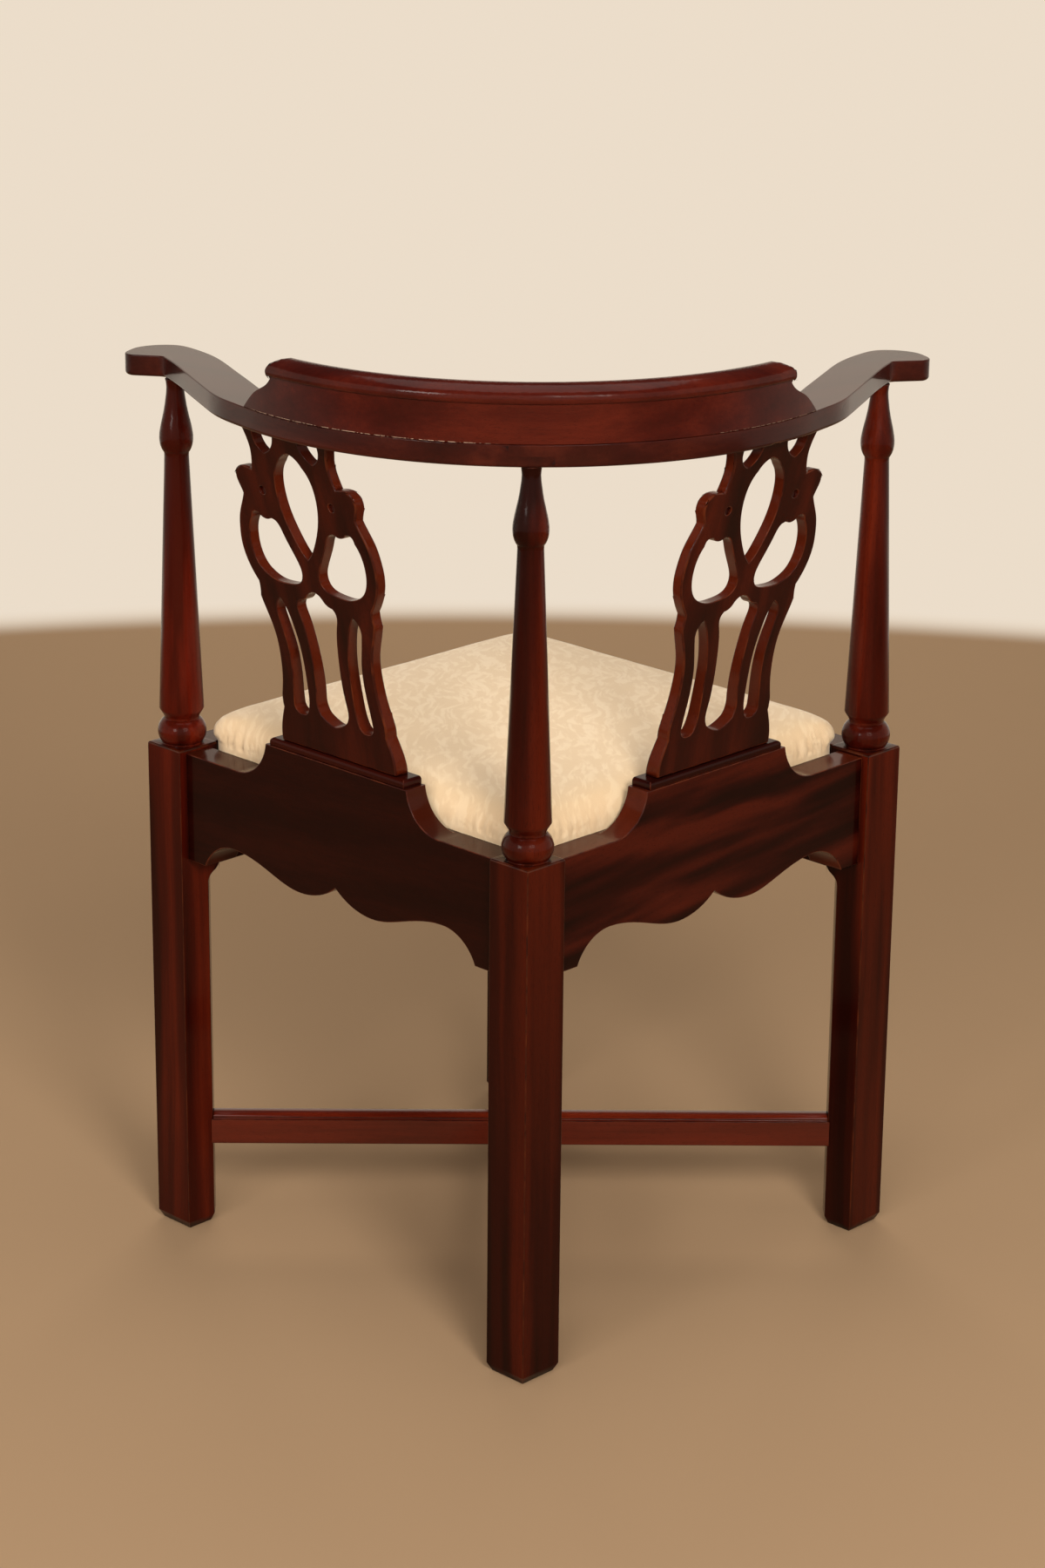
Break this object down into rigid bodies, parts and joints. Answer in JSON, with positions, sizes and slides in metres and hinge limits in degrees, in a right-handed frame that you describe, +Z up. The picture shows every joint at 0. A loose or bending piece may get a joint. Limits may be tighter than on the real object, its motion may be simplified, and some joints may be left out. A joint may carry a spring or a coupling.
{
  "type": "corner chair",
  "caption": "Wooden corner chair with pierced splats, turned posts, crossed stretchers and a lift-out upholstered seat.",
  "frame": {"origin": "on the floor under the middle of the square seat", "axes": "+Z up; the front corner points to -Y and the crest is towards +Y; the sitter's left is +X"},
  "size_m": [0.6828, 0.657, 0.842],
  "materials": {
    "mahogany": "satin lacquer",
    "mahogany_turned": "satin lacquer",
    "secondary_wood": "bare",
    "screw_steel": "zinc plated",
    "webbing": "woven jute",
    "burlap": "woven jute",
    "seat_foam": "foam",
    "damask": "tone-on-tone damask",
    "dust_cloth": "thin non-woven cloth"
  },
  "bodies": {
    "chair": {"leg_rear": "mahogany_turned", "leg_left": "mahogany_turned", "leg_right": "mahogany_turned", "leg_front": "mahogany_turned", "rail_back_left": "mahogany", "rail_back_right": "mahogany", "rail_front_left": "mahogany", "rail_front_right": "mahogany", "shoe_left": "mahogany", "shoe_right": "mahogany", "splat_left": "mahogany", "splat_right": "mahogany", "arm_left": "mahogany", "arm_right": "mahogany", "crest": "mahogany", "crest_dowels": "secondary_wood", "stretcher_front_rear": "mahogany", "stretcher_side": "mahogany", "corner_block_rear": "secondary_wood", "corner_block_left": "secondary_wood", "corner_block_front": "secondary_wood", "corner_block_right": "secondary_wood", "corner_block_screws": "screw_steel"},
    "slip_seat": {"seat_frame_back_left": "secondary_wood", "seat_frame_back_right": "secondary_wood", "seat_frame_front_left": "secondary_wood", "seat_frame_front_right": "secondary_wood", "seat_webbing_along": "webbing", "seat_webbing_across": "webbing", "seat_burlap": "burlap", "seat_pad": "seat_foam", "seat_cover": "damask", "seat_dust_cover": "dust_cloth", "seat_tacks": "screw_steel"}
  },
  "joints": [
    {"name": "seat_lift", "type": "slide", "parent": "chair", "child": "slip_seat", "axis": [0, 0, 1], "range_m": [0, 0.06]}
  ]
}
